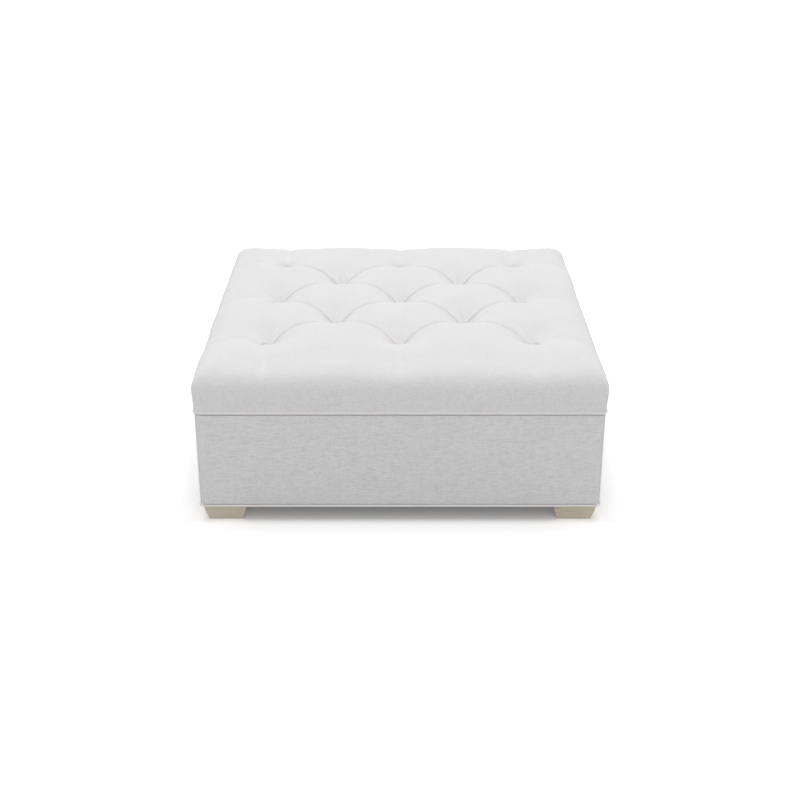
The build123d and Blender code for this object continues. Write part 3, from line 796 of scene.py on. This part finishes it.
def build_dust_cover():
    """Thin black cloth pulled tight under the rails, a little slack between the tacks and in the middle."""
    count, gap, sag, ripple = 90, 0.0006, 0.0022, 0.0006
    sag_run, ripple_run = (0.03, 0.30), (0.005, 0.05)
    line = np.linspace(-DUST_HALF, DUST_HALF, count)
    x, y = np.meshgrid(line, line, indexing="ij")
    inside = DUST_HALF - np.maximum(np.abs(x), np.abs(y))
    slack = smooth_step(*sag_run, inside)
    flat = np.stack([x, y, np.zeros_like(x)], axis=-1).reshape(-1, 3)
    lift = (ripple * soft_waves(flat, 0.09, 51)).reshape(x.shape) * smooth_step(*ripple_run, inside)
    z = DUST_TOP - gap - sag * slack + lift * slack**0.3
    points = np.stack([x, y, z], axis=-1).reshape(-1, 3)
    index = np.arange(count * count).reshape(count, count)
    faces = [
        (index[i, j], index[i + 1, j], index[i + 1, j + 1], index[i, j + 1])
        for i in range(count - 1)
        for j in range(count - 1)
    ]
    return make_mesh("dust_cover_cloth", points, faces)


dust_cover = dress(build_dust_cover(), cambric, "black_cambric", "dust_cover")


# The part's own solids

STEEL_NODES = ("foot_bolts", "tee_nuts", "frame_screws", "deck_screws", "dust_cover_tacks", "twine_washers")


def finish_for(node):
    if node in STEEL_NODES:
        return steel
    if node.startswith("foot_"):
        return oak
    if node == "tufting_twine":
        return twine
    if node.startswith("side_panel_") or node == "deck_board":
        return board
    if node.startswith("corner_post_"):
        return pine_z
    if node.endswith("_left") or node.endswith("_right"):
        return pine_y if "rail" in node or "support" in node else pine_x
    if "rail" in node:
        return pine_x
    return fabric


for name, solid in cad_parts.items():
    solid.data.materials.clear()
    solid.data.materials.append(finish_for(name))


# Studio and camera

# The floor's glow where it is seen, by how far out a place lies: 0 is GLOW_INSIDE within the base's edge, and 1 is
# GLOW_RUN further out. The front's levels and the sides' blend over GLOW_BLEND of that. The glow is painted light:
# its low levels under and beside the object paint the shadow's depth and soft edge over the floor's real shadow,
# and in front it is raised to paint out part of the box's cast shadow
GLOW_INSIDE = 0.1
GLOW_RUN = 0.4
GLOW_BLEND = 0.10
FRONT_PAINTED_GLOW = [
    (0.0, 0.10), (0.20, 0.11), (0.24, 0.33), (0.27, 0.41),
    (0.33, 0.39), (0.40, 0.38), (0.50, 0.43), (1.0, 0.70),
]
SIDE_PAINTED_GLOW = [(0.0, 0.10), (0.20, 0.11), (0.25, 0.16), (0.30, 0.13), (0.42, 0.13), (0.60, 0.25), (1.0, 0.70)]
FLOOR_HALF = 40.0
FLOOR_BOUNCE = 0.62
FLOOR_SEEN = 0.95
SKY_LEVEL = 0.62
LAMP_DISTANCE = 4


def seen_directly(tree):
    """1 for rays that show the background: from the camera, mirrored or through glass."""
    path = tree.nodes.new("ShaderNodeLightPath")
    seen = math_node(tree, "MAXIMUM", path.outputs["Is Camera Ray"], path.outputs["Is Glossy Ray"])
    return math_node(tree, "MAXIMUM", seen, path.outputs["Is Transmission Ray"])


def painted_floor_glow(tree):
    """Level of the glow, which is painted light: low under and beside the object, where it paints the shadow's
    falloff over the real shadow, and white further out.
    """
    place = split(tree, object_place(tree))
    shares, levels = [], []
    for axis, gains in ((0, SIDE_PAINTED_GLOW), (1, FRONT_PAINTED_GLOW)):
        reach = minus(tree, math_node(tree, "ABSOLUTE", place[axis]), BASE_HALF - GLOW_INSIDE)
        shares.append(math_node(tree, "DIVIDE", reach, GLOW_RUN))
        levels.append(ramp(tree, shares[-1], [(stop, [gain] * 3) for stop, gain in gains]))
    lead = tree.nodes.new("ShaderNodeMapRange")
    lead.interpolation_type = "SMOOTHSTEP"
    lead.inputs["From Min"].default_value = -GLOW_BLEND
    lead.inputs["From Max"].default_value = GLOW_BLEND
    tree.links.new(minus(tree, shares[1], shares[0]), lead.inputs["Value"])
    level = tree.nodes.new("ShaderNodeMix")
    tree.links.new(lead.outputs["Result"], level.inputs["Factor"])
    tree.links.new(levels[0], level.inputs["A"])
    tree.links.new(levels[1], level.inputs["B"])
    return level.outputs["Result"]


def build_floor():
    """A white floor: its real shadow under and close round the object, darkened and shaped there by a painted glow
    that stays low, and plain white further out.
    """
    corners = [(x * FLOOR_HALF, y * FLOOR_HALF, 0) for x, y in ((-1, -1), (1, -1), (1, 1), (-1, 1))]
    floor = make_mesh("floor", corners, [(0, 1, 2, 3)], smooth=False)
    material = bpy.data.materials.new("floor_white_painted_shadow")
    material.use_nodes = True
    tree = material.node_tree
    tree.nodes.clear()
    output = tree.nodes.new("ShaderNodeOutputMaterial")
    paper = tree.nodes.new("ShaderNodeBsdfDiffuse")
    glow = tree.nodes.new("ShaderNodeEmission")
    total = tree.nodes.new("ShaderNodeAddShader")
    seen = seen_directly(tree)
    tone = tree.nodes.new("ShaderNodeMix")
    tone.data_type = "RGBA"
    tone.inputs["A"].default_value = (*[FLOOR_BOUNCE] * 3, 1)
    tone.inputs["B"].default_value = (*[FLOOR_SEEN] * 3, 1)
    tree.links.new(seen, tone.inputs["Factor"])
    tree.links.new(tone.outputs["Result"], paper.inputs["Color"])
    # Painted light where the floor is seen, kept low near the object so that it paints the shadow there
    tree.links.new(times(tree, seen, painted_floor_glow(tree)), glow.inputs["Strength"])
    tree.links.new(paper.outputs[0], total.inputs[0])
    tree.links.new(glow.outputs[0], total.inputs[1])
    tree.links.new(total.outputs[0], output.inputs[0])
    floor.data.materials.append(material)


def build_world():
    """White all round, at SKY_LEVEL for the light that it gives and at full where it is seen."""
    world = bpy.data.worlds.new("studio")
    bpy.context.scene.world = world
    world.use_nodes = True
    tree = world.node_tree
    tree.nodes.clear()
    output = tree.nodes.new("ShaderNodeOutputWorld")
    sky = tree.nodes.new("ShaderNodeBackground")
    sky.inputs["Color"].default_value = (1, 1, 1, 1)
    gain = plus(tree, times(tree, seen_directly(tree), 1 - SKY_LEVEL), SKY_LEVEL)
    tree.links.new(gain, sky.inputs["Strength"])
    tree.links.new(sky.outputs[0], output.inputs[0])


def add_soft_light(name, azimuth, elevation, softness, level):
    """Wide even light from one direction. A white surface that faces it gets this level."""
    light = bpy.data.lights.new(name, "SUN")
    light.angle = math.radians(softness)
    light.energy = level * math.pi
    lamp = bpy.data.objects.new(name, light)
    bpy.context.scene.collection.objects.link(lamp)
    turn, rise = math.radians(azimuth), math.radians(elevation)
    way = Vector((math.sin(turn) * math.cos(rise), -math.cos(turn) * math.cos(rise), math.sin(rise)))
    aim = way.to_track_quat("Z", "Y").to_matrix().to_4x4()
    lamp.matrix_world = Matrix.Translation(way * LAMP_DISTANCE) @ aim


build_floor()
build_world()
add_soft_light("overhead_light", azimuth=180, elevation=61, softness=50, level=0.43)
add_soft_light("front_light", azimuth=0, elevation=35, softness=50, level=0.168)

# The camera, from a fit to the photograph
IMAGE_PIXELS = 800
LENS_PIXELS = 1318.6
SENSOR = 36.0
CAMERA_PLACE = (0.0, -3.2755, 1.5864)
CAMERA_PITCH = 24.292
camera_data = bpy.data.cameras.new("camera")
camera_data.sensor_width = SENSOR
camera_data.lens = LENS_PIXELS * SENSOR / IMAGE_PIXELS
camera = bpy.data.objects.new("camera", camera_data)
bpy.context.scene.collection.objects.link(camera)
camera.location = CAMERA_PLACE
camera.rotation_euler = (math.radians(90 - CAMERA_PITCH), 0, 0)
bpy.context.scene.camera = camera
bpy.context.scene.view_settings.view_transform = "Standard"
